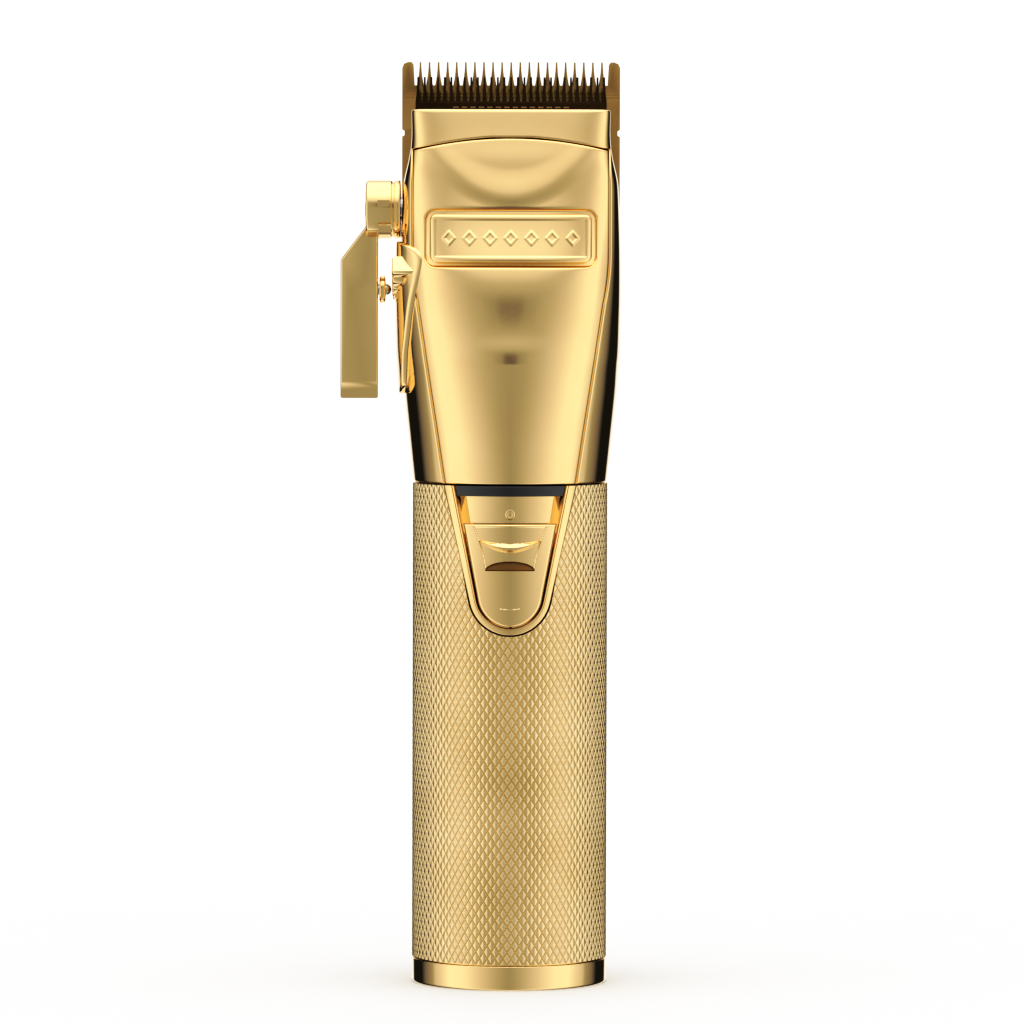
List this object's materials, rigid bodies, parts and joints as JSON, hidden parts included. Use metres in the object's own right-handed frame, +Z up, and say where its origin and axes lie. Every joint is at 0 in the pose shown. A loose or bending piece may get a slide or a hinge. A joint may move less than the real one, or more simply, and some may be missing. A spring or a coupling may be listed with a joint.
{
  "type": "hair clipper",
  "caption": "Cordless hair clipper with a knurled metal handle, polished head, side taper lever, thumb switch and a fixed and a moving blade.",
  "frame": {"origin": "centre of the flat underside of the base cap, where the clipper stands", "axes": "+Z up along the handle to the blade tips, -Y towards the front with the badge and the switch, -X towards the taper lever"},
  "size_m": [0.0576, 0.0426, 0.1893],
  "materials": {
    "polished_gold": "polished",
    "knurled_gold": "knurled satin",
    "blade_gold": "titanium coated",
    "dark_blade": "dark carbon coated",
    "smoked_lens": "smoked gloss",
    "black_plastic": "matte",
    "grey_plastic": "matte",
    "steel": "machined",
    "spring_steel": "plain",
    "bronze": "sintered",
    "magnet": "sintered",
    "battery_wrap": "shrink wrap",
    "circuit_board": "solder mask",
    "led": "clear"
  },
  "bodies": {
    "root": {"base_cap": "polished_gold", "base_screw_left": "steel", "base_screw_right": "steel", "charging_jack": "black_plastic", "grip_sleeve": "knurled_gold", "chassis_tube": "black_plastic", "switch_bezel": "polished_gold", "indicator_lens": "smoked_lens", "battery_cell": "battery_wrap", "battery_cradle": "grey_plastic", "battery_tab_top": "steel", "battery_tab_bottom": "steel", "control_board": "circuit_board", "power_switch": "black_plastic", "charge_led": "led", "rear_housing": "polished_gold", "front_cover": "polished_gold", "badge_plate": "polished_gold", "blade_cover": "polished_gold", "housing_screw_left": "steel", "housing_screw_right": "steel", "fixed_blade": "blade_gold", "blade_screw_left": "steel", "blade_screw_right": "steel", "motor_can": "steel", "motor_magnet": "magnet", "motor_end_cap": "black_plastic", "motor_bush_top": "bronze", "motor_bush_bottom": "bronze", "motor_bracket": "grey_plastic", "motor_screw_left": "steel", "motor_screw_right": "steel", "guide_screw_left": "steel", "guide_screw_right": "steel", "cam_bush": "bronze", "detent_plate": "polished_gold"},
    "slider": {"switch_slider": "polished_gold"},
    "rotor": {"motor_rotor": "steel", "crank": "steel"},
    "carriage": {"taper_carriage": "grey_plastic", "tension_spring_left": "spring_steel", "tension_spring_right": "spring_steel"},
    "cutter": {"moving_blade": "dark_blade", "blade_driver": "black_plastic"},
    "lever": {"taper_lever": "polished_gold", "lever_screw": "steel", "lever_cam": "steel", "plunger_sleeve": "polished_gold", "plunger_spring": "spring_steel"},
    "plunger": {"detent_plunger": "steel"}
  },
  "joints": [
    {"name": "lever_turn", "type": "hinge", "parent": "root", "child": "lever", "pos_m": [-0.0226, 0, 0.1588], "axis": [-1, 0, 0], "range_deg": [0, 40]},
    {"name": "taper_slide", "type": "slide", "parent": "root", "child": "carriage", "axis": [0, 0, 1], "range_m": [0, 0.0024]},
    {"name": "blade_stroke", "type": "slide", "parent": "carriage", "child": "cutter", "axis": [1, 0, 0], "range_m": [-0.0012, 0.0012]},
    {"name": "motor_spin", "type": "hinge", "parent": "root", "child": "rotor", "pos_m": [0, 0, 0.108], "axis": [0, 0, 1], "continuous": true},
    {"name": "switch_slide", "type": "slide", "parent": "root", "child": "slider", "axis": [0, 0, 1], "range_m": [0, 0.004]},
    {"name": "plunger_click", "type": "slide", "parent": "lever", "child": "plunger", "axis": [1, 0, 0], "range_m": [0, 0.0006], "stiffness_N_per_m": 200}
  ],
  "couplings": [
    {"joint": "taper_slide", "follows": "lever_turn", "m_per_rad": 0.0034293}
  ]
}
